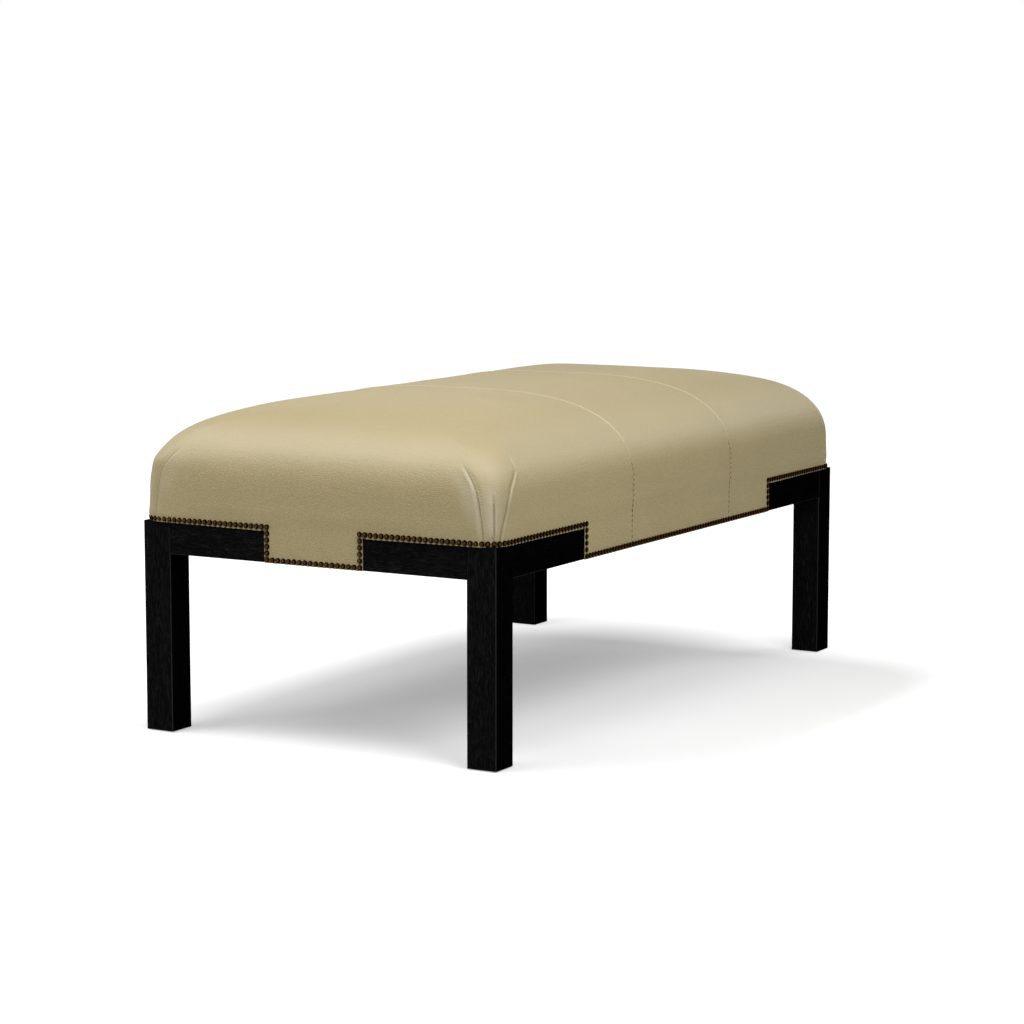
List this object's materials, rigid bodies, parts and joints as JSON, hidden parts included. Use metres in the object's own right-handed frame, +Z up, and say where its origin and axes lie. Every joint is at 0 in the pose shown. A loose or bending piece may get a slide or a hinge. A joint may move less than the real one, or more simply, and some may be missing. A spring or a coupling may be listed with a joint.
{
  "type": "cocktail ottoman",
  "caption": "Low upholstered bench with a crowned leather cushion sewn in panels, a stepped hem trimmed with domed nails, and square dark wood legs joined by rails.",
  "frame": {"origin": "middle of the footprint, on the floor", "axes": "+X along the length, +Y across the width away from the pictured long side, +Z up"},
  "size_m": [1.1846, 0.6306, 0.5089],
  "materials": {
    "leather": "semi-gloss pebble grain",
    "show_wood": "ebonised, satin, grain showing",
    "frame_wood": "raw planed hardwood",
    "nail_brass": "antiqued",
    "steel": "zinc plated",
    "nylon": "matt",
    "foam": "open-cell foam",
    "webbing": "woven jute",
    "deck_cloth": "woven burlap",
    "dust_cloth": "non-woven"
  },
  "bodies": {
    "root": {"leg_front_left": "show_wood", "leg_front_right": "show_wood", "leg_back_left": "show_wood", "leg_back_right": "show_wood", "rail_front": "show_wood", "rail_back": "show_wood", "rail_left": "show_wood", "rail_right": "show_wood", "corner_block_front_left": "frame_wood", "corner_block_front_right": "frame_wood", "corner_block_back_left": "frame_wood", "corner_block_back_right": "frame_wood", "block_screws": "steel", "glide_front_left": "nylon", "glide_front_right": "nylon", "glide_back_left": "nylon", "glide_back_right": "nylon", "deck_board_front": "frame_wood", "deck_board_back": "frame_wood", "deck_board_left": "frame_wood", "deck_board_right": "frame_wood", "deck_stretcher_left": "frame_wood", "deck_stretcher_center": "frame_wood", "deck_stretcher_right": "frame_wood", "deck_dowels": "frame_wood", "deck_screws": "steel", "webbing_lengthwise": "webbing", "webbing_crosswise": "webbing", "deck_cloth": "deck_cloth", "dust_cover": "dust_cloth", "foam_base": "foam", "foam_crown": "foam", "leather_left": "leather", "leather_center": "leather", "leather_right": "leather", "nails_front": "nail_brass", "nails_back": "nail_brass", "nails_left": "nail_brass", "nails_right": "nail_brass"}
  },
  "joints": []
}
